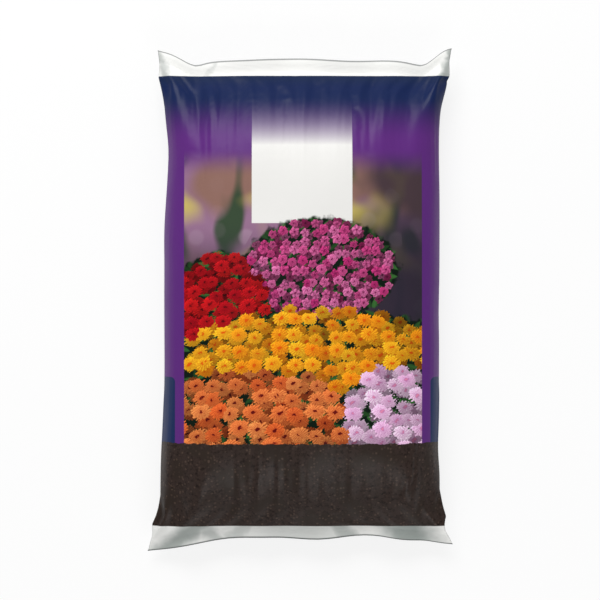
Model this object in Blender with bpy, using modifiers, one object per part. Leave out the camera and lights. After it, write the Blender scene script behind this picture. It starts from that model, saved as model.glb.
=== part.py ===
# Compost bag: a pillow pack of printed plastic film, full of compost and lying on its back.
# The film is one tube, welded flat across its head and its foot, so the whole pack is one body.
# Metres, +Z up. X runs across the bag and +Y towards its head. Its back rests on the floor at
# z = 0, and the origin is on the floor below the middle of the bag.

import math

import bmesh
import bpy

# Driving dimensions
BAG_WIDTH = 0.3825  # lay-flat film, between the outermost ear tips
BAG_LENGTH = 0.630  # between the outermost ear tips
FILL_AT_FOOT = 0.106  # thickness of the full bag, where the compost has settled
FILL_AT_HEAD = 0.092
CROWN_ACROSS = 0.012  # how far the front falls from its middle to where the sides turn down
CROWN_ALONG = 0.006
SIDE_ROUND = 0.085  # how far in from a side the front has turned level
SIDE_ROUND_BACK = 0.050
SHOULDER = 0.125  # how far in from a weld the front has turned level
SHOULDER_BACK = 0.070

# The two sheets of film at head and foot
FILM_GAP = 0.0012  # over both sheets, outside the weld
WELD_THICKNESS = 0.0007
WELD_WIDTH = 0.010
SKIRT = 0.006  # loose film between the weld and the cut edge

# Heights above the floor of the side folds, of the welded seams and of the four ears
SIDE_HEIGHT = 0.044
SEAM_HEIGHTS = {"head": 0.036, "foot": 0.031}
EAR_HEIGHTS = {"foot_left": 0.018, "foot_right": 0.022, "head_left": 0.026, "head_right": 0.031}
EAR_DROOP = 4  # the higher, the nearer to its ears a seam bends down

# Outline: (share of the way along the edge, how far the edge is drawn in from the lay-flat film)
LEFT_SIDE = (
    (0.00, 0.0000), (0.025, 0.0045), (0.055, 0.0115), (0.08, 0.0155), (0.14, 0.0175), (0.24, 0.0190),
    (0.32, 0.0222), (0.62, 0.0216), (0.69, 0.0235), (0.74, 0.0265), (0.795, 0.0275), (0.83, 0.0258),
    (0.91, 0.0205), (0.96, 0.0165), (1.00, 0.0131),
)
RIGHT_SIDE = (
    (0.00, 0.0000), (0.02, 0.0062), (0.036, 0.0122), (0.06, 0.0150), (0.15, 0.0172), (0.20, 0.0192),
    (0.30, 0.0182), (0.70, 0.0172), (0.83, 0.0180), (0.88, 0.0140), (0.90, 0.0115), (0.95, 0.0070),
    (1.00, 0.0013),
)
HEAD_SEAM = (
    (0.00, 0.0025), (0.06, 0.0092), (0.1275, 0.0240), (0.17, 0.0172), (0.26, 0.0162), (0.48, 0.0131),
    (0.59, 0.0156), (0.67, 0.0169), (0.77, 0.0154), (0.85, 0.0181), (0.908, 0.0225), (0.952, 0.0088),
    (0.98, 0.0012), (1.00, 0.0000),
)
FOOT_SEAM = (
    (0.00, 0.0000), (0.07, 0.0025), (0.11, 0.0060), (0.19, 0.0120), (0.28, 0.0172), (0.46, 0.0175),
    (0.54, 0.0144), (0.60, 0.0168), (0.74, 0.0210), (0.84, 0.0142), (0.92, 0.0135), (0.96, 0.0100),
    (1.00, 0.0094),
)
SEAM_KINK_SHARES = {"head": (0.1275, 0.908), "foot": (0.74,)}  # shares across where a seam bends sharply
KINK_SHARPNESS = 0.6

# Waves across the seams: (waves from ear to ear, height, turn at the left ear in degrees)
SEAM_WAVES = {
    "head": ((3.6, 0.0034, 40), (7.1, 0.0014, 160)),
    "foot": ((4.6, 0.0052, 205), (7.9, 0.0020, 80)),
}
SEAM_WAVE_REACH = 0.038

# Gathers: shallow pleats that run from a seam into the body
GATHERS = {
    "head": ((6.6, 0.0028, 30), (9.7, 0.0012, 200)),
    "foot": ((5.6, 0.0040, 120), (9.1, 0.0018, 15)),
}
GATHER_REACH = 0.032

# Ridges: (end of the bag, share of the way across where it leaves the seam, share across where it
# fades, how far it runs from the seam, height, half width)
EAR_FOLDS = (
    ("foot", 0.01, 0.20, 0.090, 0.0045, 0.008),
    ("foot", 0.995, 0.90, 0.065, 0.0040, 0.007),
    ("head", 0.02, 0.10, 0.080, 0.0035, 0.008),
    ("head", 0.985, 0.93, 0.080, 0.0040, 0.007),
)
CREASES = (
    ("head", 0.1275, 0.24, 0.120, 0.0040, 0.011),
    ("head", 0.908, 0.80, 0.105, 0.0040, 0.011),
    ("head", 0.05, 0.11, 0.150, 0.0045, 0.012),
    ("head", 0.95, 0.90, 0.140, 0.0045, 0.012),
    ("foot", 0.08, 0.22, 0.150, 0.0045, 0.012),
    ("foot", 0.93, 0.80, 0.140, 0.0045, 0.012),
    ("foot", 0.55, 0.58, 0.080, 0.0025, 0.010),
)
FOLD_START = 0.33  # gathers and creases reach their full height at this share of the bag's fullness

# Buckles: (side, share of the way up, depth, half height) of small folds pushed into the sides
BUCKLES = (
    ("left", 0.235, 0.0010, 0.012),
    ("left", 0.560, 0.0015, 0.014),
    ("left", 0.795, 0.0022, 0.010),
    ("right", 0.195, 0.0015, 0.010),
    ("right", 0.480, 0.0015, 0.015),
    ("right", 0.865, 0.0022, 0.010),
)
BUCKLE_REACH = 0.050

# Lumps of settled compost under the front: (waves across, waves along, height, turn in degrees)
LUMPS = (
    (1.3, 1.7, 0.0016, 20), (2.6, -2.1, 0.0011, 110), (0.8, 4.3, 0.0010, 250), (3.7, 3.1, 0.0007, 70),
)

# Cage of the film, before it is subdivided
CELLS_ACROSS = 22
SMOOTHING = 1
SIDE_CROWDING = 0.6  # 0 spaces the cells evenly across, 1 as on a round section
FIRST_CELL = 0.009  # the first cell behind the weld
CELL_GROWTH = 1.17  # each cell is this much longer than the one before, towards the middle
LONGEST_CELL = 0.029

# Print on the film. Each field is (colour, left, right, foot, head), from the middle of the bag, and
# covers the ones before it.
FILM_ROUGHNESS = 0.32
WHITE_FILM = (0.90, 0.90, 0.88, 1.0)
NAVY = (0.021, 0.037, 0.110, 1.0)
VIOLET = (0.112, 0.033, 0.202, 1.0)
DUSKY_GARDEN = (0.120, 0.070, 0.090, 1.0)
BLOSSOMS = (0.550, 0.200, 0.050, 1.0)
PALE_PANEL = (0.840, 0.830, 0.810, 1.0)
SOIL = (0.045, 0.035, 0.028, 1.0)
PRINT_FOOT, PRINT_HEAD = -0.282, 0.279  # white film shows beyond these
SOIL_HEAD = -0.176
PICTURE_LEFT, PICTURE_RIGHT, PICTURE_HEAD = -0.1425, 0.150, 0.181
FIELDS = (
    (NAVY, -BAG_WIDTH / 2, BAG_WIDTH / 2, PRINT_FOOT, PRINT_HEAD),
    (VIOLET, -BAG_WIDTH / 2, BAG_WIDTH / 2, PRINT_FOOT, 0.215),
    (DUSKY_GARDEN, PICTURE_LEFT, PICTURE_RIGHT, SOIL_HEAD, PICTURE_HEAD),
    (BLOSSOMS, PICTURE_LEFT, PICTURE_RIGHT, SOIL_HEAD, -0.010),
    (NAVY, -BAG_WIDTH / 2, -0.154, SOIL_HEAD, -0.095),
    (NAVY, 0.161, BAG_WIDTH / 2, SOIL_HEAD, -0.095),
    (PALE_PANEL, -0.059, 0.064, 0.095, 0.235),
    (SOIL, -BAG_WIDTH / 2, BAG_WIDTH / 2, PRINT_FOOT, SOIL_HEAD),
)


def mix(a, b, share):
    return a + (b - a) * share


def along(points, share):
    """The height of a smooth curve through points, at this share of the way."""
    last = len(points) - 1
    i = next((k for k in range(last - 1) if share < points[k + 1][0]), last - 1)
    (start, low), (end, high) = points[i], points[i + 1]

    def slope(k):
        before, after = points[max(k - 1, 0)], points[min(k + 1, last)]
        return (after[1] - before[1]) / (after[0] - before[0])

    length = end - start
    t = (share - start) / length
    rise = slope(i) * length * t * (1 - t) ** 2 - slope(i + 1) * length * t * t * (1 - t)
    return mix(low, high, t * t * (3 - 2 * t)) + rise


def wave(turns, height, start):
    """A sine wave after this many turns, from a start in degrees."""
    return height * math.sin(2 * math.pi * turns + math.radians(start))


def waves(rows, across):
    return sum(wave(count * across, height, start) for count, height, start in rows)


def rounded(distance, reach):
    """0 at an edge with an upright tangent, 1 and level from reach inwards."""
    left = 1 - min(max(distance, 0) / reach, 1)
    return math.sqrt(1 - left * left)


def opened(distance, reach):
    """0 at a weld where the sheets part at a slant, 1 and level from reach inwards."""
    return math.sin(math.pi / 2 * min(max(distance, 0) / reach, 1))


def bump(distance, half_width):
    return math.exp(-((distance / half_width) ** 2))


class Place:
    """A point of the film by its share of the way across and up, with its distances to the edges."""

    def __init__(self, across, up):
        self.across, self.up = across, up
        half_width, half_length = BAG_WIDTH / 2, BAG_LENGTH / 2
        left = -half_width + along(LEFT_SIDE, up)
        right = half_width - along(RIGHT_SIDE, up)
        foot = -half_length + along(FOOT_SEAM, across)
        head = half_length - along(HEAD_SEAM, across)
        self.x, self.y = mix(left, right, across), mix(foot, head, up)
        self.to_side = {"left": self.x - left, "right": right - self.x}
        self.to_seam = {"foot": self.y - foot, "head": head - self.y}
        sheets_part = SKIRT + WELD_WIDTH
        self.behind_weld = {end: distance - sheets_part for end, distance in self.to_seam.items()}

    def fullness(self, side_round, shoulder):
        """0 at the rim of the film and 1 over the compost."""
        ends = [opened(d, shoulder) for d in self.behind_weld.values()]
        sides = [rounded(d, side_round) for d in self.to_side.values()]
        return ends[0] * ends[1] * sides[0] * sides[1]


def end_height(end, place):
    """Height of the film at one end of the bag: its seam, the ears that hang from it and its waves."""
    ears = mix(EAR_HEIGHTS[end + "_left"], EAR_HEIGHTS[end + "_right"], place.across)
    droop = (2 * place.across - 1) ** EAR_DROOP
    fade = math.exp(-place.to_seam[end] / SEAM_WAVE_REACH)
    return mix(SEAM_HEIGHTS[end], ears, droop) + waves(SEAM_WAVES[end], place.across) * fade


def rim_height(place):
    """Height of the surface that the side folds and the seams lie in."""
    ends = mix(end_height("foot", place), end_height("head", place), place.up)
    lift = opened(place.to_seam["foot"], SHOULDER) * opened(place.to_seam["head"], SHOULDER)
    return mix(ends, SIDE_HEIGHT, lift) + ridges(EAR_FOLDS, place)


def gathers(place):
    """How far the film stands out in pleats behind the welds."""
    out = 0
    for end, distance in place.behind_weld.items():
        share = max(distance, 0) / GATHER_REACH
        out += waves(GATHERS[end], place.across) * share * math.exp(1 - share)
    return out


def ridges(rows, place):
    """How far the ridges that fan out from the ears and the kinks stand out of the film."""
    out = 0
    for end, start, finish, length, height, half_width in rows:
        share = place.to_seam[end] / length
        if share < 1:
            off_ridge = (place.across - mix(start, finish, share)) * BAG_WIDTH
            out += height * math.sin(math.pi * share) * bump(off_ridge, half_width * (1 + share))
    return out


def buckle(place):
    """How far a side is pushed in here by its buckles."""
    pushed = {"left": 0, "right": 0}
    for side, up, depth, half_height in BUCKLES:
        off_buckle = (place.up - up) * BAG_LENGTH
        fade = math.exp(-place.to_side[side] / BUCKLE_REACH)
        pushed[side] += depth * bump(off_buckle, half_height) * fade
    return pushed["left"] - pushed["right"]


def lumps(place):
    return sum(
        wave(across * place.across + up * place.up, height, start)
        for across, up, height, start in LUMPS
    )


def half_gap(place):
    """Half the thickness of the two sheets, which lie loosely together except in the weld."""
    from_weld = min(place.to_seam.values()) - (SKIRT + WELD_WIDTH / 2)
    return mix(FILM_GAP, WELD_THICKNESS, bump(from_weld, WELD_WIDTH / 2)) / 2


def front(across, up):
    """A point of the printed front."""
    place = Place(across, up)
    full = place.fullness(SIDE_ROUND, SHOULDER)
    rim = rim_height(place)
    top = mix(FILL_AT_FOOT, FILL_AT_HEAD, up)
    top -= CROWN_ACROSS * (2 * across - 1) ** 2 + CROWN_ALONG * (2 * up - 1) ** 2
    top += lumps(place)
    edge = min(1, full / FOLD_START)
    z = mix(rim, top, full) + (gathers(place) + ridges(CREASES, place)) * edge + half_gap(place)
    return place.x + buckle(place), place.y, z


def back(across, up):
    """A point of the back, which lies flat on the floor under the compost."""
    place = Place(across, up)
    full = place.fullness(SIDE_ROUND_BACK, SHOULDER_BACK)
    edge = min(1, full / FOLD_START)
    rim = rim_height(place) - gathers(place) * edge - half_gap(place)
    return place.x + buckle(place) * (1 - full), place.y, mix(rim, 0, full)


def columns():
    """Shares of the way across for the cage, closer where the sides turn, and one at each kink."""
    even = [2 * i / CELLS_ACROSS - 1 for i in range(CELLS_ACROSS + 1)]
    crowded = [math.sin(math.pi / 2 * share) for share in even]
    shares = [(1 + mix(a, b, SIDE_CROWDING)) / 2 for a, b in zip(even, crowded)]
    for kink in SEAM_KINK_SHARES["head"] + SEAM_KINK_SHARES["foot"]:
        nearest = min(range(1, CELLS_ACROSS), key=lambda i: abs(shares[i] - kink))
        shares[nearest] = kink
    return shares


def rows():
    """Shares of the way up for the cage: cut edge, weld, then longer and longer cells to the middle."""
    distances = [0, SKIRT, SKIRT + WELD_WIDTH / 2, SKIRT + WELD_WIDTH]
    cell = FIRST_CELL
    while distances[-1] + cell < BAG_LENGTH / 2:
        distances.append(distances[-1] + cell)
        cell = min(cell * CELL_GROWTH, LONGEST_CELL)
    ends = [distance / BAG_LENGTH for distance in distances]
    return ends + [1 - share for share in reversed(ends)]


def sharpness(across, up):
    """1 at the four ear tips, less at the kinks of a seam and 0 where the film stays soft."""
    if across in (0, 1) and up in (0, 1):
        return 1
    end = {0: "foot", 1: "head"}.get(up)
    return KINK_SHARPNESS if across in SEAM_KINK_SHARES.get(end, ()) else 0


def sheet(bm, surface, across, up, sharp):
    """One sheet of the film: a grid, each of whose corners goes to its place on the surface."""
    made = bmesh.ops.create_grid(bm, x_segments=len(across) - 1, y_segments=len(up) - 1, size=0.5)
    for vertex in made["verts"]:
        column = round((vertex.co.x + 0.5) * (len(across) - 1))
        row = round((vertex.co.y + 0.5) * (len(up) - 1))
        vertex[sharp] = sharpness(across[column], up[row])
        vertex.co = surface(across[column], up[row])
    return {face for vertex in made["verts"] for face in vertex.link_faces}


def film():
    """The tube of film: a front and a back sheet, joined all round their rims."""
    bm = bmesh.new()
    sharp = bm.verts.layers.float.new("crease_vert")
    across, up = columns(), rows()
    sheet(bm, front, across, up, sharp)
    back_faces = sheet(bm, back, across, up, sharp)
    bmesh.ops.reverse_faces(bm, faces=list(back_faces))
    rims = [edge for edge in bm.edges if edge.is_boundary]
    bmesh.ops.bridge_loops(bm, edges=rims)
    bmesh.ops.recalc_face_normals(bm, faces=bm.faces)
    mesh = bpy.data.meshes.new("compost_bag")
    bm.to_mesh(mesh)
    bm.free()
    return mesh


def inside(nodes, links, coordinate, low, high):
    """A socket that is 1 where the coordinate lies between low and high."""
    compare = nodes.new("ShaderNodeMath")
    compare.operation = "COMPARE"
    links.new(coordinate, compare.inputs[0])
    compare.inputs[1].default_value = (low + high) / 2
    compare.inputs[2].default_value = (high - low) / 2
    return compare.outputs[0]


def printed_film():
    """White film with the print's fields of colour, laid on it from straight above."""
    material = bpy.data.materials.new("printed_film")
    material.use_nodes = True
    nodes, links = material.node_tree.nodes, material.node_tree.links
    place = nodes.new("ShaderNodeTexCoord")
    split = nodes.new("ShaderNodeSeparateXYZ")
    links.new(place.outputs["Object"], split.inputs[0])
    below = None
    for colour, left, right, foot, head in FIELDS:
        both = nodes.new("ShaderNodeMath")
        both.operation = "MULTIPLY"
        links.new(inside(nodes, links, split.outputs["X"], left, right), both.inputs[0])
        links.new(inside(nodes, links, split.outputs["Y"], foot, head), both.inputs[1])
        ink = nodes.new("ShaderNodeMix")
        ink.data_type = "RGBA"
        links.new(both.outputs[0], ink.inputs["Factor"])
        if below:
            links.new(below, ink.inputs["A"])
        else:
            ink.inputs["A"].default_value = WHITE_FILM
        ink.inputs["B"].default_value = colour
        below = ink.outputs["Result"]
    shader = nodes["Principled BSDF"]
    links.new(below, shader.inputs["Base Color"])
    shader.inputs["Roughness"].default_value = FILM_ROUGHNESS
    shader.inputs["Metallic"].default_value = 0
    return material


def compost_bag(collection):
    bag = bpy.data.objects.new("compost_bag", film())
    collection.objects.link(bag)
    bag.data.materials.append(printed_film())
    bag.data.shade_smooth()
    soft = bag.modifiers.new("soft film", "SUBSURF")
    soft.levels = soft.render_levels = SMOOTHING
    return bag


def main():
    for old in list(bpy.data.objects):
        bpy.data.objects.remove(old)
    collection = bpy.data.collections.new("Compost bag")
    bpy.context.scene.collection.children.link(collection)
    compost_bag(collection)


main()
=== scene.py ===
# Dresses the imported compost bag: the same film as a fine mesh with its pleats and small wrinkles,
# a garden print made of shader nodes, soft studio light and a camera that looks straight down.
import math

import bpy
import numpy as np
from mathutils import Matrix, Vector
from mathutils.bvhtree import BVHTree


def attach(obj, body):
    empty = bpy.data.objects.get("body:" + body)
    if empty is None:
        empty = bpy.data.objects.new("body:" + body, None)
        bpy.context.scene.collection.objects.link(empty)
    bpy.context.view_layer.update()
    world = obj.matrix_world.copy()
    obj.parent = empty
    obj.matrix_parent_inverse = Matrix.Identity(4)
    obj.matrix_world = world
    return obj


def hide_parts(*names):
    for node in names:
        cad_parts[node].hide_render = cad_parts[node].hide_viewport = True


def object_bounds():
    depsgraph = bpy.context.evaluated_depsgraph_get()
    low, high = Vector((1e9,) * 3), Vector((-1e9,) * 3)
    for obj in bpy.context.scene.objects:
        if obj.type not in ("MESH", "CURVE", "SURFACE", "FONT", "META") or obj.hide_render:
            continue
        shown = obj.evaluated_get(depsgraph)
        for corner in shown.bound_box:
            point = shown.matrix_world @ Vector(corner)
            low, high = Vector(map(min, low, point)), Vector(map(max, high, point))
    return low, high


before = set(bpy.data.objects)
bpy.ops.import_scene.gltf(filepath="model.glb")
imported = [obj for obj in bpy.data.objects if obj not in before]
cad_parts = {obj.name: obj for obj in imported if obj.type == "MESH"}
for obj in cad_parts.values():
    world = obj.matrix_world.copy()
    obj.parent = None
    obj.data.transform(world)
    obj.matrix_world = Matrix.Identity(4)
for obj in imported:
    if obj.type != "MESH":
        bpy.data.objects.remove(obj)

cadLow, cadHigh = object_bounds()
scene = bpy.context.scene
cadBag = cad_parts["compost_bag"]


# Camera

cameraSettings = {
    "lens": 135.0,         # mm, a long lens held straight over the bag
    "sensor": 36.0,
    "frameSide": 0.75,     # m of the bag's plane across the square picture
    "planeHeight": 0.030,  # m, the height of the seams and ears
    "farClip": 50.0,
}


def makeCamera(s):
    data = bpy.data.cameras.new("overheadCamera")
    data.lens = s["lens"]
    data.sensor_width = s["sensor"]
    data.clip_end = s["farClip"]
    camera = bpy.data.objects.new("overheadCamera", data)
    scene.collection.objects.link(camera)
    camera.location = (0.0, 0.0, s["planeHeight"] + s["frameSide"] * s["lens"] / s["sensor"])
    scene.camera = camera
    print("camera: straight down from", round(camera.location.z, 3), "m")


makeCamera(cameraSettings)


# Film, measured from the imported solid. It is kept as a tube of points: one row for each step up the
# bag, and in a row the front from left to right and then the back from right to left.

filmSettings = {
    "cellsAcross": 100,   # of each sheet, before they are doubled
    "cellsUp": 112,
    "endCrowding": 0.45,  # 0 spaces the rows evenly, more crowds them towards both ends
    "samples": 500,       # along a section when it is measured
    "endInset": 0.0006,   # share of the length, how far inside a cut edge the sheets are read
}


def edgeCrossings(points, edges, axis, value):
    # where the mesh's edges cross the plane axis = value
    a, b = points[edges[:, 0]], points[edges[:, 1]]
    below, above = a[:, axis] - value, b[:, axis] - value
    crosses = (below * above <= 0) & (np.abs(b[:, axis] - a[:, axis]) > 1e-9)
    a, b = a[crosses], b[crosses]
    share = (value - a[:, axis]) / (b[:, axis] - a[:, axis])
    return a + (b - a) * share[:, None]


def measureOutline(points, edges, shares, tips, axis, pick):
    # the outline between two ear tips, seen from above: for each share of the way along this axis,
    # the outermost point on the other one
    start, end = tips[0][axis], tips[1][axis]
    found = []
    for share in shares:
        if share <= 0.0 or share >= 1.0:
            found.append(tips[0] if share <= 0.0 else tips[1])
            continue
        hits = edgeCrossings(points, edges, axis, start + (end - start) * share)
        found.append(hits[pick(hits[:, 1 - axis])])
    return np.array(found)


def rowShares(s):
    even = np.linspace(0.0, 1.0, s["cellsUp"] + 1)
    return even - s["endCrowding"] * np.sin(2 * math.pi * even) / (2 * math.pi)


def measureFilm(s):
    mesh = cadBag.data
    points = np.array([v.co[:] for v in mesh.vertices])
    edges = np.array([e.vertices[:] for e in mesh.edges])
    tree = BVHTree.FromPolygons([Vector(p) for p in points], [p.vertices[:] for p in mesh.polygons])

    def tip(x, y):
        return points[np.argmax(points[:, 0] * x + points[:, 1] * y)]

    footLeft, footRight, headLeft, headRight = tip(-1, -1), tip(1, -1), tip(-1, 1), tip(1, 1)
    fine = np.linspace(0.0, 1.0, s["samples"] + 1)
    foot = measureOutline(points, edges, fine, (footLeft, footRight), 0, np.argmin)
    head = measureOutline(points, edges, fine, (headLeft, headRight), 0, np.argmax)
    up = rowShares(s)
    left = measureOutline(points, edges, up, (footLeft, headLeft), 1, np.argmin)
    right = measureOutline(points, edges, up, (footRight, headRight), 1, np.argmax)

    def height(x, y, side):
        # the height of the front (side 1) or the back (side -1) here, nan outside the outline
        hit = tree.ray_cast(Vector((x, y, side)), Vector((0, 0, -side)))[0]
        return hit.z if hit else math.nan

    sheets = []
    for side in (1, -1):
        rows = []
        for k, share in enumerate(up):
            inner = min(max(share, s["endInset"]), 1 - s["endInset"])
            x = left[k, 0] + (right[k, 0] - left[k, 0]) * fine
            y = foot[:, 1] + (head[:, 1] - foot[:, 1]) * share
            yRead = foot[:, 1] + (head[:, 1] - foot[:, 1]) * inner
            z = np.array([height(a, b, side) for a, b in zip(x, yRead)])
            z[0], z[-1] = left[k, 2], right[k, 2]
            known = ~np.isnan(z)
            z = np.interp(fine, fine[known], z[known])
            length = np.concatenate(([0.0], np.cumsum(np.hypot(np.diff(x), np.diff(z)))))
            even = np.linspace(0.0, length[-1], s["cellsAcross"] + 1)
            rows.append(np.stack([np.interp(even, length, c) for c in (x, y, z)], axis=1))
        sheets.append(np.array(rows))
    front, back = sheets
    print("film: measured from the solid,", front.shape[0], "rows")
    return np.concatenate((front[:, :-1], back[:, :0:-1]), axis=1)


def tubeFaces(rows, ring):
    # quads round the tube, then the two narrow strips that close its cut edges
    k, j = np.meshgrid(np.arange(rows - 1), np.arange(ring), indexing="ij")
    after = (j + 1) % ring
    quads = np.stack((k * ring + j, k * ring + after, (k + 1) * ring + after, (k + 1) * ring + j), axis=-1)
    faces = quads.reshape(-1, 4).tolist()
    for start, turned in ((0, True), ((rows - 1) * ring, False)):
        for j in range(ring // 2):
            low, high = (ring - j) % ring, ring - j - 1
            strip = [start + j, start + j + 1, start + high, start + low]
            strip = list(dict.fromkeys(strip))
            faces.append(strip[::-1] if turned else strip)
    return faces


def tubeMesh(name, tube):
    mesh = bpy.data.meshes.new(name)
    mesh.from_pydata(tube.reshape(-1, 3).tolist(), [], tubeFaces(*tube.shape[:2]))
    return mesh


clothSettings = {
    "frames": 24,
    "closing": 14,        # frames in which the wide film closes round the compost
    "quality": 6,
    "mass": 0.1,
    "tension": 40.0,
    "shear": 20.0,
    "bending": 150.0,
    "bendingDamping": 2.0,
    "airDamping": 2.0,
    "heldRim": 0.016,     # m from a cut edge, welded film that doesn't move
    "heldHeight": 0.002,  # m, what is lower lies flat on the floor and doesn't move either
    "rimFade": 0.020,
    "looseReach": 0.160,  # m from a weld, how far the film lies loosely on the compost
    "heldLoose": 0.22,    # how firmly it is held at the weld, and over the compost
    "heldBody": 0.99,
    "grip": 4.0,          # stiffness of that hold
    "spareMost": 0.05,    # share of its width, the most film that a section has to spare
    "spareLeast": 0.005,
    "spareReach": 0.200,  # m from a cut edge
    "spareFade": 0.060,
    "spareRest": 0.05,    # share of the spare film that is left beyond that
    "unevenness": 0.0005,  # m, waves that tell the gathers where to start
    "unevenLeast": 0.3,   # share of that, the faintest wave
    "unevenWaves": 9,
    "unevenTurns": (4, 17),
    "unevenLean": 3,
    "seed": 11,
    "cap": 0.008,         # m, the most that a point moves
    "smoothing": 0.25,
}


def spareFilm(tube, toEnd, s):
    # the tube before it closes: each section as wide as the flat film, with faint uneven waves
    ring = tube.shape[1]
    width = cadHigh[0] - cadLow[0]
    around = np.linalg.norm(np.roll(tube, -1, axis=1) - tube, axis=-1).sum(axis=1)
    spare = np.clip(2 * width / around - 1, 0, None) + s["spareLeast"]
    behindWeld = np.clip((toEnd - s["heldRim"]) / s["rimFade"], 0, 1)
    spare = np.clip(spare, 0, s["spareMost"]) * behindWeld
    spare = spare * np.clip((s["spareReach"] - toEnd) / s["spareFade"], s["spareRest"], 1)
    wide = tube.copy()
    wide[..., 0] *= (1 + spare)[:, None]
    dice = np.random.default_rng(s["seed"])
    across = tube[..., 0] / width
    along = tube[..., 1:2].mean(axis=1) / (cadHigh[1] - cadLow[1]) + 0.5
    outwards = np.where(np.arange(ring) <= ring // 2, 1.0, -1.0)[None, :]
    reach = (behindWeld * (toEnd < s["spareReach"]))[:, None]
    for _ in range(s["unevenWaves"]):
        turns = dice.uniform(*s["unevenTurns"])
        lean = dice.uniform(-s["unevenLean"], s["unevenLean"])
        start = dice.uniform(0, 2 * math.pi)
        wave = np.sin(2 * math.pi * (turns * across + lean * along) + start)
        height = s["unevenness"] * dice.uniform(s["unevenLeast"], 1)
        wide[..., 2] += height * wave * reach * outwards
    return wide


def holdFilm(cloth, tube, toEnd, s):
    # the welds and the flat back are fixed, and the compost holds the rest, least near the welds
    loose = np.clip((toEnd - s["heldRim"]) / s["looseReach"], 0, 1)
    held = s["heldLoose"] + (s["heldBody"] - s["heldLoose"]) * loose
    held = np.where(toEnd < s["heldRim"], 1.0, held)
    weights = np.repeat(held[:, None], tube.shape[1], axis=1)
    weights[tube[..., 2] < s["heldHeight"]] = 1.0
    group = cloth.vertex_groups.new(name="held")
    for i, weight in enumerate(weights.ravel().tolist()):
        group.add([i], weight, "REPLACE")


def addCloth(cloth, s):
    film = cloth.modifiers.new("film", "CLOTH")
    settings = film.settings
    settings.vertex_group_mass = "held"
    settings.pin_stiffness = s["grip"]
    settings.quality = s["quality"]
    settings.mass = s["mass"]
    settings.tension_stiffness = settings.compression_stiffness = s["tension"]
    settings.shear_stiffness = s["shear"]
    settings.bending_stiffness = s["bending"]
    settings.bending_damping = s["bendingDamping"]
    settings.air_damping = s["airDamping"]
    settings.effector_weights.gravity = 0.0
    film.collision_settings.use_collision = False
    film.point_cache.frame_end = s["frames"]


def simulateFilm(tube, up, s):
    # the wide film closes round the compost, and what is too wide gathers behind the welds
    toEnd = np.minimum(up, 1 - up) * (cadHigh[1] - cadLow[1])
    cloth = bpy.data.objects.new("filmCloth", tubeMesh("filmCloth", spareFilm(tube, toEnd, s)))
    scene.collection.objects.link(cloth)
    cloth.shape_key_add(name="wide", from_mix=False)
    full = cloth.shape_key_add(name="full", from_mix=False)
    full.data.foreach_set("co", tube.astype(np.float32).ravel())
    for value, at in ((0.0, 1), (1.0, 1 + s["closing"])):
        full.value = value
        full.keyframe_insert("value", frame=at)
    holdFilm(cloth, tube, toEnd, s)
    addCloth(cloth, s)
    for k in range(1, s["frames"] + 1):
        scene.frame_set(k)
    shape = cloth.evaluated_get(bpy.context.evaluated_depsgraph_get()).to_mesh()
    moved = np.empty(tube.size)
    shape.vertices.foreach_get("co", moved)
    moved = moved.reshape(tube.shape) - tube
    far = np.linalg.norm(moved, axis=-1)
    print("cloth: moved", round(far.mean() * 1000, 2), "mm on average, at most", round(far.max() * 1000, 2))
    moved *= np.minimum(1, s["cap"] / np.maximum(far, 1e-9))[..., None]
    beside = (np.roll(moved, 1, axis=1) + np.roll(moved, -1, axis=1)) / 2
    moved = moved + (beside - moved) * s["smoothing"]
    scene.frame_set(1)
    bpy.data.objects.remove(cloth)
    return tube + moved


def doubled(points, axis, closed):
    # twice as many cells along this axis, the new points on a smooth curve through the old ones
    p = np.moveaxis(points, axis, 0)
    if closed:
        before, after, later = np.roll(p, 1, axis=0), np.roll(p, -1, axis=0), np.roll(p, -2, axis=0)
        here = p
    else:
        here, after = p[:-1], p[1:]
        before = np.concatenate((2 * p[:1] - p[1:2], p[:-2]))
        later = np.concatenate((p[2:], 2 * p[-1:] - p[-2:-1]))
    middle = (9 * (here + after) - before - later) / 16
    result = np.empty((len(p) + len(middle),) + p.shape[1:])
    result[0::2], result[1::2] = p, middle
    return np.moveaxis(result, 0, axis)


detailSettings = {
    "sheetGap": 0.0009,     # m, the least between front and back
    "frontShare": 0.62,     # of the bake map's width, for the printed front
    "mapMargin": 0.008,     # of the bake map, left for the strips that close the cut edges
    "mapStrip": (0.75, 0.25),  # of that margin, from where to where a strip lies
}


def partSheets(tube, gap):
    # moves front and back apart where the gathers brought them too close
    half = tube.shape[1] // 2
    front = np.arange(1, half)
    back = tube.shape[1] - front
    overlap = np.clip(gap - (tube[:, front, 2] - tube[:, back, 2]), 0, None) / 2
    tube[:, front, 2] += overlap
    tube[:, back, 2] -= overlap
    tube[..., 2] = np.maximum(tube[..., 2], 0.0)
    return tube


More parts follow.
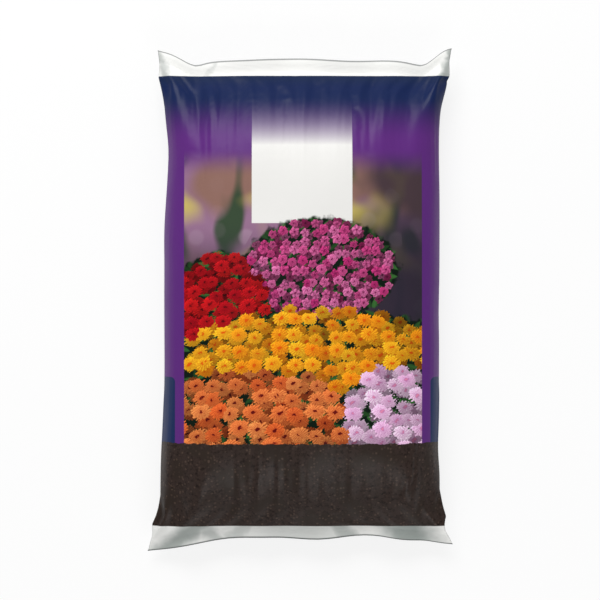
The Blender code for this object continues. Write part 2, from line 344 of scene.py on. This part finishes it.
def mapFilm(mesh, rows, ring, s):
    # the bake map: the front beside the back, and the two closing strips below and above them
    half = ring // 2
    margin = s["mapMargin"]
    j = np.arange(ring + 1)
    front = margin + np.clip(j / half, 0, 1) * (s["frontShare"] - 2 * margin)
    back = s["frontShare"] + (j - half) / half * (1 - s["frontShare"] - margin)
    v = margin + np.linspace(0, 1, rows) * (1 - 2 * margin)
    uv = []
    for k in range(rows - 1):
        for i in range(ring):
            u = front if i < half else back
            uv += [(u[i], v[k]), (u[i + 1], v[k]), (u[i + 1], v[k + 1]), (u[i], v[k + 1])]
    for below in (True, False):
        inner, outer = (margin * share if below else 1 - margin * share for share in s["mapStrip"])
        for i in range(half):
            corners = [(front[i], inner), (front[i + 1], inner), (front[i + 1], outer), (front[i], outer)]
            if i == 0:
                corners = corners[:3]
            elif i == half - 1:
                corners = [corners[0], corners[1], corners[3]]
            uv += corners[::-1] if below else corners
    layer = mesh.uv_layers.new(name="OFBake")
    layer.data.foreach_set("uv", np.array(uv, dtype=np.float32).ravel())


def markFilm(mesh, tube):
    # values that the print reads: which sheet a point is on, and how far it is from a cut edge
    rows, ring = tube.shape[:2]
    steps = np.linalg.norm(np.diff(tube, axis=0), axis=-1)
    fromFoot = np.concatenate((np.zeros((1, ring)), np.cumsum(steps, axis=0)))
    fromEdge = np.minimum(fromFoot, fromFoot[-1:] - fromFoot)
    onFront = np.repeat((np.arange(ring) <= ring // 2).astype(float)[None, :], rows, axis=0)
    for name, values in (("fromCutEdge", fromEdge), ("frontSheet", onFront)):
        attribute = mesh.attributes.new(name, "FLOAT", "POINT")
        attribute.data.foreach_set("value", values.astype(np.float32).ravel())


def makeBag():
    up = rowShares(filmSettings)
    tube = measureFilm(filmSettings)
    tube = simulateFilm(tube, up, clothSettings)
    tube = doubled(doubled(tube, axis=1, closed=True), axis=0, closed=False)
    tube = partSheets(tube, detailSettings["sheetGap"])
    mesh = tubeMesh("bagFilm", tube)
    mapFilm(mesh, *tube.shape[:2], detailSettings)
    markFilm(mesh, tube)
    mesh.shade_smooth()
    bag = bpy.data.objects.new("bagFilm", mesh)
    scene.collection.objects.link(bag)
    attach(bag, "root")
    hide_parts("compost_bag")
    print("bag:", len(mesh.polygons), "faces")
    return bag


bag = makeBag()


# Helpers for materials. A value given to them is a number, a colour or another node's socket.

def ink(red, green, blue):
    # a printed colour as it looks, 0 to 255 a channel
    def light(c):
        c = c / 255
        return c / 12.92 if c <= 0.04045 else ((c + 0.055) / 1.055) ** 2.4
    return (light(red), light(green), light(blue), 1.0)


class Sketch:
    # puts nodes into one tree and joins them up

    def __init__(self, tree):
        self.tree = tree

    def join(self, value, socket):
        if isinstance(value, bpy.types.NodeSocket):
            self.tree.links.new(value, socket)
        elif value is not None:
            socket.default_value = value

    def put(self, kind, inputs=(), **settings):
        node = self.tree.nodes.new(kind)
        for name, value in settings.items():
            setattr(node, name, value)
        for name, value in dict(inputs).items():
            self.join(value, node.inputs[name])
        return node

    def calc(self, operation, a, b=None, c=None, clamp=False):
        node = self.put("ShaderNodeMath", operation=operation, use_clamp=clamp)
        for value, socket in zip((a, b, c), node.inputs):
            self.join(value, socket)
        return node.outputs[0]

    def vector(self, operation, a, b=None, c=None, out="Vector"):
        node = self.put("ShaderNodeVectorMath", operation=operation)
        for value, socket in zip((a, b, c), node.inputs):
            self.join(value, socket)
        return node.outputs[out]

    def split(self, vector):
        return self.put("ShaderNodeSeparateXYZ", {0: vector}).outputs

    def step(self, value, low, high, kind="SMOOTHSTEP"):
        # 0 at low and 1 at high, eased in between
        inputs = {"Value": value, "From Min": low, "From Max": high}
        return self.put("ShaderNodeMapRange", inputs, interpolation_type=kind).outputs[0]

    def fade(self, value, low, high, start, end):
        inputs = {"Value": value, "From Min": low, "From Max": high, "To Min": start, "To Max": end}
        return self.put("ShaderNodeMapRange", inputs).outputs[0]

    def layer(self, share, under, over):
        # a colour over another one, as much as share says
        return self.put("ShaderNodeMix", {0: share, 6: under, 7: over}, data_type="RGBA").outputs[2]

    def noise(self, vector, scale, detail=2.0, roughness=0.5, flat=False):
        inputs = {"Vector": vector, "Scale": scale, "Detail": detail, "Roughness": roughness}
        node = self.put("ShaderNodeTexNoise", inputs, noise_dimensions="2D" if flat else "3D")
        return node.outputs[0]

    def cells(self, vector, scale, randomness=1.0, flat=True):
        inputs = {"Vector": vector, "Scale": scale, "Randomness": randomness}
        return self.put("ShaderNodeTexVoronoi", inputs, voronoi_dimensions="2D" if flat else "3D").outputs

    def between(self, value, low, high, soft):
        # 1 from low to high and 0 outside, with soft ends
        rise = self.step(value, low - soft, low + soft)
        return self.calc("MULTIPLY", rise, self.step(value, high + soft, high - soft))

    def plane(self, x, y):
        return self.put("ShaderNodeCombineXYZ", {0: x, 1: y}).outputs[0]


def newGroup(name, inputs, outputs):
    # an empty node group; inputs and outputs are rows of (name, kind)
    tree = bpy.data.node_groups.new(name, "ShaderNodeTree")
    for label, kind in inputs:
        tree.interface.new_socket(name=label, in_out="INPUT", socket_type="NodeSocket" + kind)
    for label, kind in outputs:
        tree.interface.new_socket(name=label, in_out="OUTPUT", socket_type="NodeSocket" + kind)
    entry, leave = tree.nodes.new("NodeGroupInput"), tree.nodes.new("NodeGroupOutput")
    return Sketch(tree), entry.outputs, leave.inputs


def useGroup(sketch, group, inputs):
    node = sketch.put("ShaderNodeGroup", node_tree=group)
    for name, value in inputs.items():
        sketch.join(value, node.inputs[name])
    return node.outputs


# Print: the flower beds. Each is a mound, and a blossom belongs to the mound that its middle is in.

farBeds = [
    {"middle": (0.024, 0.038, 0), "spread": (0.092, 0.060, 1), "petals": 5, "heart": 0.10,
     "tip": ink(206, 50, 124), "other": ink(236, 128, 184), "base": ink(88, 12, 56),
     "heartColour": ink(110, 14, 66)},
]
nearBeds = [
    {"middle": (-0.098, -0.002, 0), "spread": (0.058, 0.058, 1), "petals": 17, "heart": 0.12,
     "tip": ink(232, 30, 30), "other": ink(196, 12, 30), "base": ink(70, 0, 8),
     "heartColour": ink(90, 2, 10)},
    {"middle": (0.024, -0.066, 0), "spread": (0.166, 0.054, 1), "petals": 15, "heart": 0.17,
     "tip": ink(255, 204, 40), "other": ink(255, 160, 24), "base": ink(176, 62, 0),
     "heartColour": ink(214, 84, 10)},
    {"middle": (0.110, -0.142, 0), "spread": (0.068, 0.058, 1), "petals": 16, "heart": 0.12,
     "tip": ink(252, 232, 248), "other": ink(240, 198, 230), "base": ink(176, 100, 160),
     "heartColour": ink(214, 130, 160)},
    {"middle": (-0.058, -0.146, 0), "spread": (0.118, 0.064, 1), "petals": 17, "heart": 0.17,
     "tip": ink(250, 158, 84), "other": ink(238, 112, 48), "base": ink(140, 20, 14),
     "heartColour": ink(92, 12, 12)},
]

blossomSettings = {
    "farCell": 0.0125,                 # m, about a blossom's width
    "nearCell": 0.0220,
    "horizon": 0.645,                  # m above the middle; nearer blossoms are wider in proportion
    "reference": 0.700,                # m below the horizon, where a near blossom has the width given
    "lowering": 1.20,                  # how much lower than wide the near blossoms look
    "scatter": 0.62,                   # 0 sets the blossoms in rows, 1 strews them
    "size": (0.395, 0.545),            # radius of the smallest and largest blossom, of the cell
    "rings": (1.0, 0.82, 0.65, 0.49, 0.33),  # radius of each ring of petals, of the blossom's radius
    "ringTurn": 2.4,                   # how far each ring is turned against the one outside it
    "notch": 0.16,                     # how deep the gaps between the petals' tips are
    "sharpness": 16.0,                 # of the petals' edges
    "edgeMiddle": 0.5,                 # how much an edge covers in its middle
    "unevenness": 0.16,                # how far the petals stray, of a cell
    "unevenScale": 5.0,
    "petalStart": 0.45,                # where a petal shows from under the next ring
    "petalBase": 0.10,                 # how light a petal is there, against its tip
    "petalSide": 0.50,                 # and at its sides
    "light": (-0.25, 0.40, 0.0),       # where the printed light comes from, and how strong it is
    "plain": 0.86,
    "moods": (0.80, 1.15),             # of the smallest and largest blossom
    "farShades": (0.42, 1.22),         # of the blossoms in the shade below, and of those on top
    "nearShades": (0.36, 0.82, 1.24),
    "firstShift": (0.5, 0.0),          # moves the random cells, and again for each group and layer
    "groupShift": (17.3, 7.9),
    "layerShift": (5.37, 3.61),
}

leafSettings = {
    "cell": 0.017,
    "dark": ink(10, 26, 16),
    "light": ink(54, 104, 48),
    "halfWidth": 0.20,                 # of a cell
    "pointing": -0.75,                 # how fast a leaf narrows towards its ends
    "sharpness": 14.0,
    "layerShift": (3.7, 8.3, 0.0),
    "layers": (0.45, 1.0),             # how light the lower and the upper leaves are
    "moods": (0.25, 1.0),              # of the darkest and lightest leaf
    "rib": (0.05, 1.35, 0.90),         # half width, how light the rib and the blade are
    "roughScale": 90.0,
    "roughBed": 0.22,                  # how ragged the leaves' outer edge is, of a mound
    "roughGround": 0.012,              # m
    "aroundBed": (1.20, 1.12),         # how far the leaves reach past the blossoms, of a mound
    "ground": (-0.028, -0.036),        # m, nothing but leaves between the mounds below this
}


def chooseBed(k, middle, beds):
    # the colours and petals of the mound that this middle is in, and whether it is in any
    chosen = {key: beds[0][key] for key in ("tip", "other", "base", "heartColour")}
    numbers = {key: float(beds[0][key]) for key in ("petals", "heart")}
    grows = None
    for bed in beds:
        off = k.vector("DIVIDE", k.vector("SUBTRACT", middle, bed["middle"]), bed["spread"])
        here = k.calc("LESS_THAN", k.vector("LENGTH", off, out="Value"), 1.0)
        if grows is None:
            grows = here
            continue
        grows = k.calc("MAXIMUM", grows, here)
        chosen = {key: k.layer(here, value, bed[key]) for key, value in chosen.items()}
        numbers = {key: k.fade(here, 0, 1, value, float(bed[key])) for key, value in numbers.items()}
    return chosen, numbers, grows


def makeBlossoms(name, cellSize, beds, s, inPerspective):
    # each cell of a random pattern holds one blossom of a few rings of petals
    k, given, made = newGroup(
        name, [("Place", "Vector"), ("Shift", "Vector"), ("Shade", "Float")],
        [("Colour", "Color"), ("Mask", "Float")],
    )
    place = given["Place"]
    if inPerspective:
        x, y, _ = k.split(place)
        depth = k.calc("SUBTRACT", s["horizon"], y)
        across = k.calc("MULTIPLY", k.calc("DIVIDE", x, depth), s["reference"])
        along = k.calc("MULTIPLY", k.calc("LOGARITHM", depth, math.e), -s["reference"])
        place = k.plane(across, along)
    lowering = s["lowering"] if inPerspective else 1.0
    placed = k.vector("MULTIPLY_ADD", place, (1 / cellSize, lowering / cellSize, 1.0), given["Shift"])
    uneven = k.noise(placed, s["unevenScale"], detail=1.0, flat=True)
    stray = k.fade(uneven, 0, 1, -s["unevenness"], s["unevenness"])
    placed = k.vector("ADD", placed, k.plane(stray, stray))
    cell = k.cells(placed, 1.0, s["scatter"])
    local = k.vector("SUBTRACT", placed, cell["Position"])
    middle = k.vector("SUBTRACT", cell["Position"], given["Shift"])
    middle = k.vector("MULTIPLY", middle, (cellSize, cellSize / lowering, 1.0))
    if inPerspective:
        across, along, _ = k.split(middle)
        depth = k.calc("POWER", math.e, k.calc("DIVIDE", along, -s["reference"]))
        x = k.calc("MULTIPLY", k.calc("DIVIDE", across, s["reference"]), depth)
        middle = k.plane(x, k.calc("SUBTRACT", s["horizon"], depth))
    chosen, numbers, grows = chooseBed(k, middle, beds)
    chance = k.split(cell["Color"])
    radius = k.calc("DIVIDE", cell["Distance"], k.fade(chance[1], 0, 1, *s["size"]))
    x, y, _ = k.split(local)
    angle = k.calc("MULTIPLY", k.calc("ARCTAN2", y, x), numbers["petals"])
    turn = k.calc("MULTIPLY", chance[0], 2 * math.pi)
    tone, inside = None, None
    for i, ring in enumerate(s["rings"]):
        turned = k.calc("MULTIPLY_ADD", turn, 1.0 + i, s["ringTurn"] * i)
        wave = k.calc("COSINE", k.calc("ADD", angle, turned))
        edge = k.calc("MULTIPLY_ADD", wave, ring * s["notch"] / 2, ring * (1 - s["notch"] / 2))
        cover = k.calc("SUBTRACT", edge, radius)
        cover = k.calc("MULTIPLY_ADD", cover, s["sharpness"], s["edgeMiddle"], clamp=True)
        lit = k.fade(radius, ring * s["petalStart"], ring, s["petalBase"], 1.0)
        lit = k.calc("MULTIPLY", lit, k.fade(wave, -1, 1, s["petalSide"], 1.0))
        tone = lit if tone is None else k.calc("MULTIPLY_ADD", k.calc("SUBTRACT", lit, tone), cover, tone)
        inside = cover if inside is None else inside
    petals = k.layer(tone, chosen["base"], k.layer(chance[2], chosen["tip"], chosen["other"]))
    heart = k.calc("SUBTRACT", numbers["heart"], radius)
    heart = k.calc("MULTIPLY_ADD", heart, s["sharpness"], s["edgeMiddle"], clamp=True)
    coloured = k.layer(heart, petals, chosen["heartColour"])
    bright = k.calc("ADD", k.vector("DOT_PRODUCT", local, s["light"], out="Value"), s["plain"])
    bright = k.calc("MULTIPLY", bright, k.fade(chance[1], 0, 1, *s["moods"]))
    bright = k.calc("MULTIPLY", bright, given["Shade"])
    shaded = k.vector("MULTIPLY", coloured, bright)
    k.join(k.vector("MINIMUM", shaded, (1.0, 1.0, 1.0)), made["Colour"])
    k.join(k.calc("MULTIPLY", inside, grows), made["Mask"])
    return k.tree


def paintLeaves(k, place, s):
    # small pointed shapes turned every way, two layers deep
    result = s["dark"]
    for i, shade in enumerate(s["layers"]):
        shift = tuple(i * move for move in s["layerShift"])
        placed = k.vector("MULTIPLY_ADD", place, (1 / s["cell"],) * 3, shift)
        cell = k.cells(placed, 1.0)
        chance = k.split(cell["Color"])
        turned = k.put("ShaderNodeVectorRotate", {
            "Vector": k.vector("SUBTRACT", placed, cell["Position"]),
            "Angle": k.calc("MULTIPLY", chance[0], 2 * math.pi),
        }, rotation_type="Z_AXIS")
        x, y, _ = k.split(turned.outputs[0])
        across = k.calc("ABSOLUTE", x)
        edge = k.calc("MULTIPLY_ADD", k.calc("MULTIPLY", y, y), s["pointing"], s["halfWidth"])
        cover = k.calc("MULTIPLY", k.calc("SUBTRACT", edge, across), s["sharpness"], clamp=True)
        bright = k.calc("MULTIPLY", k.fade(chance[1], 0, 1, *s["moods"]), shade)
        bright = k.calc("MULTIPLY", bright, k.fade(across, 0, *s["rib"]))
        result = k.layer(cover, result, k.layer(bright, s["dark"], s["light"]))
    return result


def paintBeds(k, place, y, colour, s, leaves):
    # leaves round and between the mounds, then the blossoms in layers, the shaded ones first
    reach = None
    for bed in farBeds + nearBeds:
        off = k.vector("DIVIDE", k.vector("SUBTRACT", place, bed["middle"]), bed["spread"])
        distance = k.vector("LENGTH", off, out="Value")
        reach = distance if reach is None else k.calc("MINIMUM", reach, distance)
    rough = k.noise(place, leaves["roughScale"], flat=True)
    around = k.step(k.calc("MULTIPLY_ADD", rough, leaves["roughBed"], reach), *leaves["aroundBed"])
    ground = k.step(k.calc("MULTIPLY_ADD", rough, leaves["roughGround"], y), *leaves["ground"])
    colour = k.layer(k.calc("MAXIMUM", around, ground), colour, paintLeaves(k, place, leaves))
    far = makeBlossoms("farBlossoms", s["farCell"], farBeds, s, inPerspective=False)
    near = makeBlossoms("nearBlossoms", s["nearCell"], nearBeds, s, inPerspective=True)
    for i, (group, shades) in enumerate(((far, s["farShades"]), (near, s["nearShades"]))):
        for n, shade in enumerate(shades):
            moves = zip(s["groupShift"], s["layerShift"], s["firstShift"])
            across, up = (forGroup * i + forLayer * n + first for forGroup, forLayer, first in moves)
            inputs = {"Place": place, "Shift": (across, up, 0.0), "Shade": shade}
            flowers = useGroup(k, group, inputs)
            colour = k.layer(flowers["Mask"], colour, flowers["Colour"])
    return colour


# Print: where everything lies on the front, in metres from the middle of the bag

printSettings = {
    "foot": -0.282, "head": 0.279,           # the print's ends; white film shows beyond
    "soilHead": -0.176,
    "pictureLeft": -0.1425, "pictureRight": 0.150,
    "pictureHead": (0.187, 0.150),           # fades in between these
    "navyHead": (0.262, 0.279),
    "violetHead": (0.252, 0.194),
    "panel": (-0.059, 0.064, 0.094),         # left, right, foot
    "panelHead": (0.262, 0.190),
    "panelFade": 3.9,                        # how late it turns pale on the way down
    "sidePanels": (-0.154, 0.161, -0.095),   # right end of the left one, left end of the right one, head
    "sidePanelCorner": 0.006,
    "white": ink(243, 243, 240),
    "navy": ink(22, 37, 80),
    "navyTop": ink(27, 41, 74),
    "violet": ink(94, 44, 124),
    "sideNavy": ink(27, 45, 88),
    "paleLabel": ink(236, 235, 232),
    "edge": 0.0004,                          # m, how soft the print's edges are
}

backdropSettings = {
    "colour": ink(150, 112, 142),
    "patches": [            # soft shapes: colour, noise scale, where they start and are full
        {"colour": ink(142, 106, 96), "scale": 9.0, "rise": (0.62, 0.40), "stretch": 1.0, "shift": 0.0},
        {"colour": ink(56, 74, 54), "scale": 26.0, "rise": (0.50, 0.68), "stretch": 0.45, "shift": 9.1},
        {"colour": ink(204, 186, 96), "scale": 15.0, "rise": (0.50, 0.78), "stretch": 1.0, "shift": 4.2},
    ],
    "bokehCell": 0.030,     # m, discs of light far behind
    "bokehColour": ink(214, 190, 206),
    "bokehRadius": (0.40, 0.22),
    "bokehChance": (0.55, 1.0),
    "bokehStrength": 0.28,
    "dark": ink(44, 39, 53),
    "darkRight": (0.10, 0.20),       # m across, with the roughness below added, where it gets dark
    "darkRightRough": 0.16,
    "darkRightScale": 11.0,
    "darkRightStrength": 0.84,
    "darkLow": (0.100, 0.020),       # m up, where it gets dark on the way down
    "darkLowStrength": 0.85,
}

soilSettings = {
    "colour": ink(55, 44, 40),
    "dark": ink(33, 25, 22),
    "grainScale": 210.0,    # noise, cells to a metre
    "grain": (0.30, 0.55),
    "brown": ink(49, 40, 35),
    "brownScale": 34.0,
    "browns": (0.48, 0.62),
    "crumb": ink(92, 75, 65),
    "crumbCell": 0.0036,
    "crumbRadius": (0.50, 0.28),
    "crumbChance": (0.55, 1.0),
    "crumbStrength": 0.55,
    "ragged": 0.007,        # m, how uneven its upper edge is
    "raggedScale": 70.0,
    "raggedEdge": 0.0006,
}


def paintBackdrop(k, place, x, y, s):
    # a garden far out of focus: haze, bushes, a few discs of light, darker to the right and below
    colour = s["colour"]
    for patch in s["patches"]:
        moved = k.vector("MULTIPLY_ADD", place, (1.0, patch["stretch"], 1.0), (patch["shift"],) * 3)
        cover = k.step(k.noise(moved, patch["scale"], detail=1.0, flat=True), *patch["rise"])
        colour = k.layer(cover, colour, patch["colour"])
    cell = k.cells(place, 1 / s["bokehCell"])
    shown = k.step(k.split(cell["Color"])[0], *s["bokehChance"])
    disc = k.calc("MULTIPLY", k.step(cell["Distance"], *s["bokehRadius"]), shown)
    colour = k.layer(k.calc("MULTIPLY", disc, s["bokehStrength"]), colour, s["bokehColour"])
    rough = k.noise(place, s["darkRightScale"], flat=True)
    right = k.step(k.calc("MULTIPLY_ADD", rough, s["darkRightRough"], x), *s["darkRight"])
    colour = k.layer(k.calc("MULTIPLY", right, s["darkRightStrength"]), colour, s["dark"])
    low = k.step(y, *s["darkLow"])
    return k.layer(k.calc("MULTIPLY", low, s["darkLowStrength"]), colour, s["dark"])


def paintSoil(k, place, s):
    grain = k.noise(place, s["grainScale"], detail=3.0, roughness=0.7)
    colour = k.layer(k.step(grain, *s["grain"]), s["dark"], s["colour"])
    colour = k.layer(k.step(k.noise(place, s["brownScale"]), *s["browns"]), colour, s["brown"])
    cell = k.cells(place, 1 / s["crumbCell"], flat=False)
    shown = k.step(k.split(cell["Color"])[0], *s["crumbChance"])
    crumb = k.calc("MULTIPLY", k.step(cell["Distance"], *s["crumbRadius"]), shown)
    return k.layer(k.calc("MULTIPLY", crumb, s["crumbStrength"]), colour, s["crumb"])


def coverSoil(k, place, y, head, s):
    # where the printed soil is, up to an uneven edge
    ragged = k.noise(place, s["raggedScale"], detail=4.0, roughness=0.7)
    height = k.calc("MULTIPLY_ADD", ragged, s["ragged"], y)
    middle = head + s["ragged"] / 2
    return k.step(height, middle + s["raggedEdge"], middle - s["raggedEdge"])


def coverSides(k, x, y, s):
    # two panels down the sides, each with a round corner
    left, right, head = s["sidePanels"]
    corner = s["sidePanelCorner"]
    fromLeft = k.calc("MAXIMUM", k.calc("SUBTRACT", x, left - corner), 0.0)
    fromRight = k.calc("MAXIMUM", k.calc("SUBTRACT", right + corner, x), 0.0)
    above = k.calc("MAXIMUM", k.calc("SUBTRACT", y, head - corner), 0.0)
    past = k.plane(k.calc("MINIMUM", fromLeft, fromRight), above)
    return k.step(k.vector("LENGTH", past, out="Value"), corner + s["edge"], corner - s["edge"])


def paintFront(k, place, x, y, s):
    # the ground colours all round the bag, and the same with the picture on them for the front
    ground = k.layer(k.step(y, *s["violetHead"]), s["navy"], s["violet"])
    ground = k.layer(k.step(y, *s["navyHead"]), ground, s["navyTop"])
    ground = k.layer(coverSides(k, x, y, s), ground, s["sideNavy"])
    picture = paintBackdrop(k, place, x, y, backdropSettings)
    picture = k.layer(k.step(y, *s["pictureHead"]), ground, picture)
    left, right, foot = s["panel"]
    rise = k.calc("POWER", k.step(y, *s["panelHead"], kind="LINEAR"), s["panelFade"])
    label = k.calc("MULTIPLY", k.between(x, left, right, s["edge"]), rise)
    label = k.calc("MULTIPLY", label, k.step(y, foot - s["edge"], foot + s["edge"]))
    picture = k.layer(label, picture, s["paleLabel"])
    picture = paintBeds(k, place, y, picture, blossomSettings, leafSettings)
    within = k.between(x, s["pictureLeft"], s["pictureRight"], s["edge"])
    return ground, k.layer(within, ground, picture)


filmLook = {
    "roughness": (0.33, 0.42),        # of the smoothest and roughest spots, a semi-gloss film
    "roughnessScale": 26.0,
    "roughnessNoise": (0.3, 0.7),
    "specular": 0.11,
    "lumps": 0.00022,         # m, compost pressing through the film
    "lumpScale": 62.0,
    "crinkles": 0.00004,
    "crinkleScale": 240.0,
    "weldRibs": 0.00012,
    "weld": (0.006, 0.016),   # m from the cut edge
    "weldSoft": 0.0004,
    "ribSpacing": 0.0016,
    "cutEdgeShade": (0.0023, 0.0011),      # m from the cut edge, a thin line of painted shade along it, darker at the foot, which faces away from the key lamp
    "cutShadeHead": ink(152, 154, 153),
    "cutShadeFoot": ink(110, 114, 112),
    "foldShadeTint": ink(160, 167, 163),   # painted shade of the white film's folds and gathers near both ends
    "foldShadeFoot": [                     # middle across, half width, how strong, how slanted
        (-0.130, 0.023, 0.90, 1.15), (-0.120, 0.014, 0.60, -1.0), (-0.068, 0.014, 0.55, 0.8),
        (-0.006, 0.080, 0.42, 0.0), (0.048, 0.017, 0.75, -0.8), (0.130, 0.034, 1.0, -0.5),
    ],
    "foldShadeHead": [(-0.168, 0.006, 0.6, -0.3), (-0.116, 0.004, 0.3, 0.4), (0.180, 0.006, 0.8, 0.35)],
    "foldShadeFade": (1.50, 0.20),         # where a patch fades, of its half width
    "foldShadeRough": 0.010,               # m, how uneven its sides are
    "foldShadeScale": 60.0,
}


def paintFoldShade(k, colour, place, x, y, start, patches, look):
    # painted shade: slanted soft grey bands on the white film, from where the print ends, this high up, to
    # the cut edge
    rough = k.noise(place, look["foldShadeScale"])
    x = k.calc("ADD", x, k.fade(rough, 0, 1, -look["foldShadeRough"], look["foldShadeRough"]))
    shown = 0.0
    for middle, halfWidth, strength, slant in patches:
        line = k.calc("MULTIPLY_ADD", k.calc("SUBTRACT", y, start), -slant, x)
        off = k.calc("ABSOLUTE", k.calc("SUBTRACT", line, middle))
        fadeOut, fadeIn = (halfWidth * share for share in look["foldShadeFade"])
        shown = k.calc("MAXIMUM", shown, k.calc("MULTIPLY", k.step(off, fadeOut, fadeIn), strength))
    thisEnd = k.calc("GREATER_THAN", k.calc("MULTIPLY", y, start), 0.0)
    return k.layer(k.calc("MULTIPLY", shown, thisEnd), colour, look["foldShadeTint"])


def bumpFilm(k, place, fromEdge, look):
    # lumps of compost, fine crinkles, and the ribs that the sealing bars press into the welds
    lumps = k.calc("MULTIPLY", k.noise(place, look["lumpScale"], detail=1.0), look["lumps"])
    crinkles = k.calc("MULTIPLY", k.noise(place, look["crinkleScale"]), look["crinkles"])
    ribs = k.calc("SINE", k.calc("MULTIPLY", fromEdge, 2 * math.pi / look["ribSpacing"]))
    ribs = k.calc("MULTIPLY", ribs, k.between(fromEdge, *look["weld"], look["weldSoft"]))
    height = k.calc("MULTIPLY_ADD", ribs, look["weldRibs"], k.calc("ADD", lumps, crinkles))
    return k.put("ShaderNodeBump", {"Strength": 1.0, "Distance": 1.0, "Height": height}).outputs[0]


def makePrintedFilm(s, look):
    material = bpy.data.materials.new("printedFilm")
    material.use_nodes = True
    k = Sketch(material.node_tree)
    shader = material.node_tree.nodes["Principled BSDF"]
    place = k.put("ShaderNodeTexCoord").outputs["Object"]
    x, y, _ = k.split(place)
    fromEdge = k.put("ShaderNodeAttribute", attribute_name="fromCutEdge").outputs["Fac"]
    onFront = k.put("ShaderNodeAttribute", attribute_name="frontSheet").outputs["Fac"]
    plain, front = paintFront(k, place, x, y, s)
    printed = k.layer(onFront, plain, front)
    soil = paintSoil(k, place, soilSettings)
    printed = k.layer(coverSoil(k, place, y, s["soilHead"], soilSettings), printed, soil)
    # painted shade of the film's folds at the foot and at the head
    white = paintFoldShade(k, s["white"], place, x, y, s["foot"], look["foldShadeFoot"], look)
    white = paintFoldShade(k, white, place, x, y, s["head"], look["foldShadeHead"], look)
    colour = k.layer(k.between(y, s["foot"], s["head"], s["edge"]), white, printed)
    # painted shade along the cut edge, darker at the foot
    cut = k.layer(k.calc("GREATER_THAN", y, 0.0), look["cutShadeFoot"], look["cutShadeHead"])
    colour = k.layer(k.step(fromEdge, *look["cutEdgeShade"]), colour, cut)
    k.join(colour, shader.inputs["Base Color"])
    rough = k.noise(place, look["roughnessScale"], detail=3.0)
    rough = k.fade(rough, *look["roughnessNoise"], *look["roughness"])
    k.join(rough, shader.inputs["Roughness"])
    shader.inputs["Specular IOR Level"].default_value = look["specular"]
    k.join(bumpFilm(k, place, fromEdge, look), shader.inputs["Normal"])
    print("film: printed")
    return material


bag.data.materials.append(makePrintedFilm(printSettings, filmLook))


# Stage and lights

stageSettings = {
    "side": 6.0,
    "sunk": 0.0005,         # m, so that the floor doesn't cut the bag's flat back
    "colour": (0.95, 0.95, 0.95, 1.0),
    "roughness": 0.9,
    "whiteShare": 0.82,     # of pure white in what the camera and reflections see of it
}
worldSettings = {
    "colour": (1.0, 1.0, 1.0, 1.0),
    "onBag": 0.30,          # strength of what lights the bag
    "seen": 1.0,            # and of what the camera sees
}
lampSettings = [
    {"name": "keySoftbox", "place": (-0.6, 2.2, 2.2), "size": (2.0, 1.4), "watts": 82.0},
    {"name": "footFill", "place": (0.5, -2.3, 1.5), "size": (1.6, 1.2), "watts": 24.0},
]


def makeStage(s):
    bpy.ops.mesh.primitive_plane_add(size=s["side"], location=(0.0, 0.0, -s["sunk"]))
    floor = bpy.context.object
    floor.name = "studioFloor"
    paper = bpy.data.materials.new("studioPaper")
    paper.use_nodes = True
    k = Sketch(paper.node_tree)
    shader = paper.node_tree.nodes["Principled BSDF"]
    shader.inputs["Base Color"].default_value = s["colour"]
    shader.inputs["Roughness"].default_value = s["roughness"]
    path = k.put("ShaderNodeLightPath").outputs
    seen = k.calc("MAXIMUM", path["Is Camera Ray"], path["Is Glossy Ray"])
    share = k.calc("MULTIPLY", seen, s["whiteShare"])
    white = k.put("ShaderNodeEmission").outputs[0]
    mixed = k.put("ShaderNodeMixShader", {0: share, 1: shader.outputs[0], 2: white})
    k.join(mixed.outputs[0], paper.node_tree.nodes["Material Output"].inputs["Surface"])
    floor.data.materials.append(paper)


def makeWorld(s):
    world = bpy.data.worlds.new("studio")
    scene.world = world
    world.use_nodes = True
    k = Sketch(world.node_tree)
    around = world.node_tree.nodes["Background"]
    around.inputs["Color"].default_value = s["colour"]
    seen = k.put("ShaderNodeLightPath").outputs["Is Camera Ray"]
    k.join(k.fade(seen, 0, 1, s["onBag"], s["seen"]), around.inputs["Strength"])


def makeLamp(s):
    data = bpy.data.lights.new(s["name"], "AREA")
    data.shape = "RECTANGLE"
    data.size, data.size_y = s["size"]
    data.energy = s["watts"]
    lamp = bpy.data.objects.new(s["name"], data)
    lamp.location = s["place"]
    lamp.rotation_euler = (-Vector(s["place"])).to_track_quat("-Z", "Y").to_euler()
    scene.collection.objects.link(lamp)


scene.view_settings.view_transform = "Standard"
makeStage(stageSettings)
makeWorld(worldSettings)
for lamp in lampSettings:
    makeLamp(lamp)
print("stage: a white floor and", len(lampSettings), "soft lamps")
